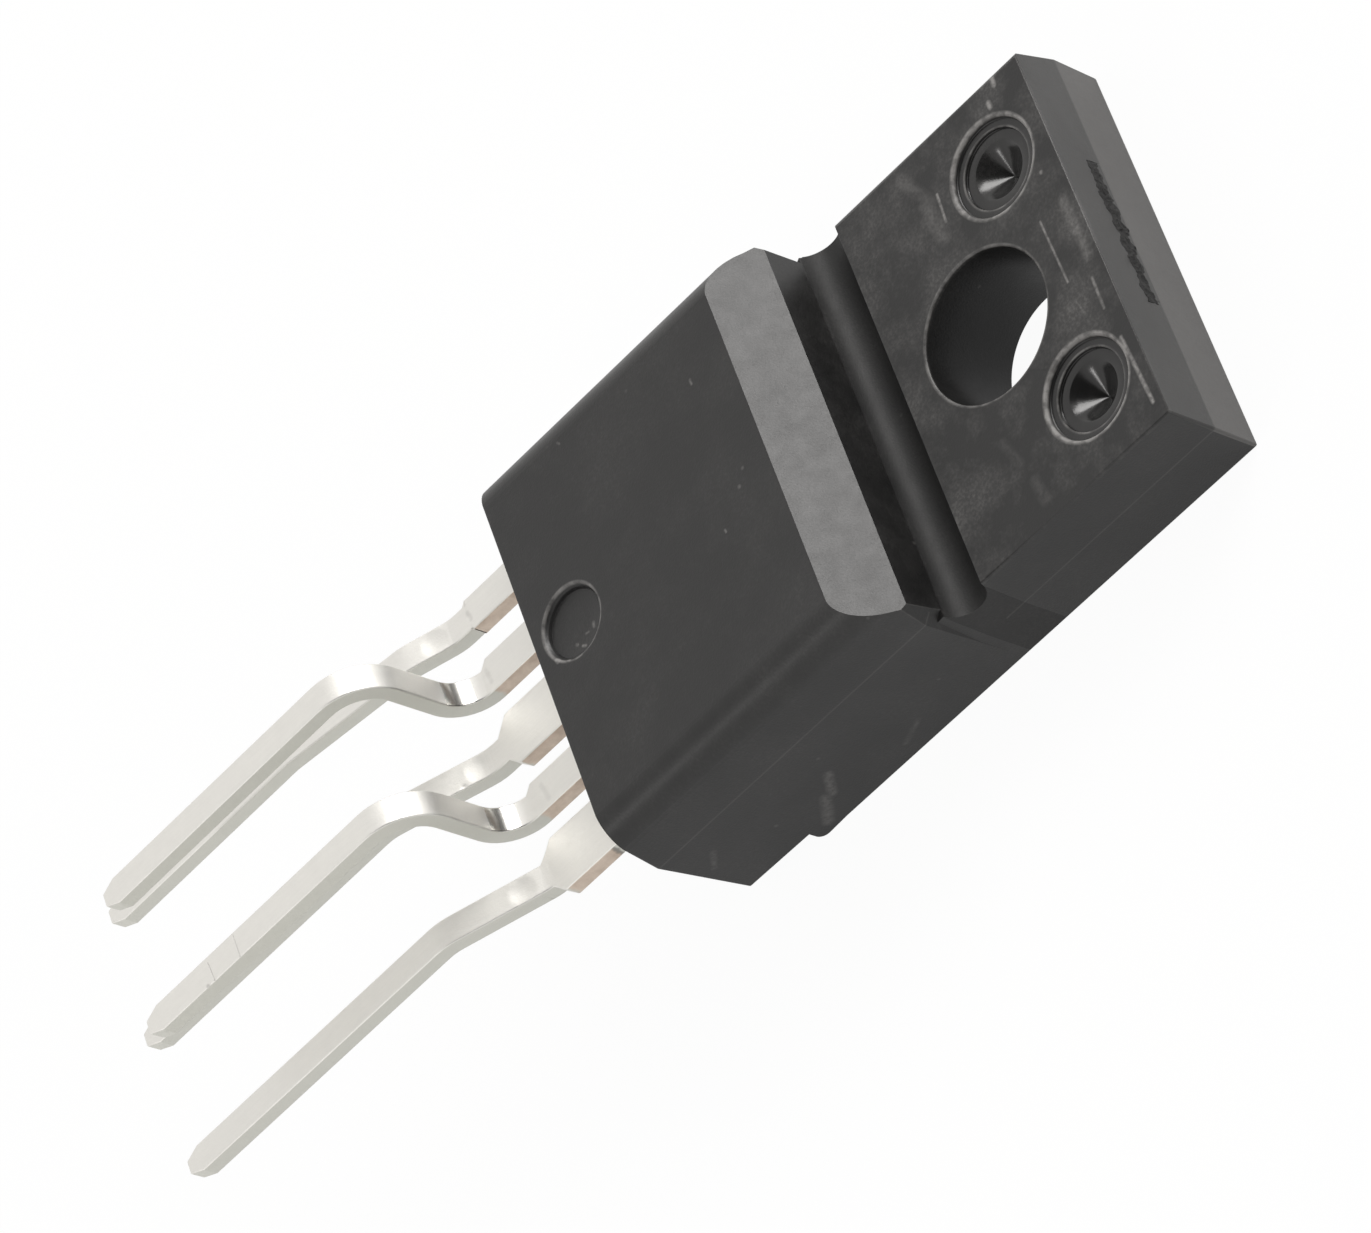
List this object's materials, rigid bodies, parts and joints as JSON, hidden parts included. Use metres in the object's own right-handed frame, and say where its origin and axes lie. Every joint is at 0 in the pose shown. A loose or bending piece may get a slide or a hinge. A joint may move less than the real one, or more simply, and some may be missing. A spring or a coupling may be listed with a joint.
{
  "type": "power transistor",
  "caption": "Fully moulded through-hole power transistor with a screw tab and formed leads in two staggered rows.",
  "frame": {"origin": "axis of the screw hole on the back face that seats on a heatsink", "axes": "+Z along the screw hole, out of the front face; +Y from the leads to the tab's end; +X to the right seen from the front with the tab up"},
  "size_m": [0.0102, 0.0287, 0.0064],
  "materials": {
    "mould_compound": "dark grey epoxy moulding compound, semi-matt, scuffed",
    "tinned_copper": "matt tin plate over copper, bare copper on the cut edges",
    "solder": "die-attach solder",
    "silicon": "polished silicon",
    "bond_wire": "bare aluminium wire"
  },
  "bodies": {
    "root": {"moulded_body": "mould_compound", "centre_lead": "tinned_copper", "lead_1": "tinned_copper", "lead_2": "tinned_copper", "lead_4": "tinned_copper", "lead_5": "tinned_copper", "solder": "solder", "chip": "silicon", "bond_wire_1": "bond_wire", "bond_wire_2": "bond_wire", "bond_wire_4": "bond_wire", "bond_wire_5": "bond_wire"}
  },
  "joints": []
}
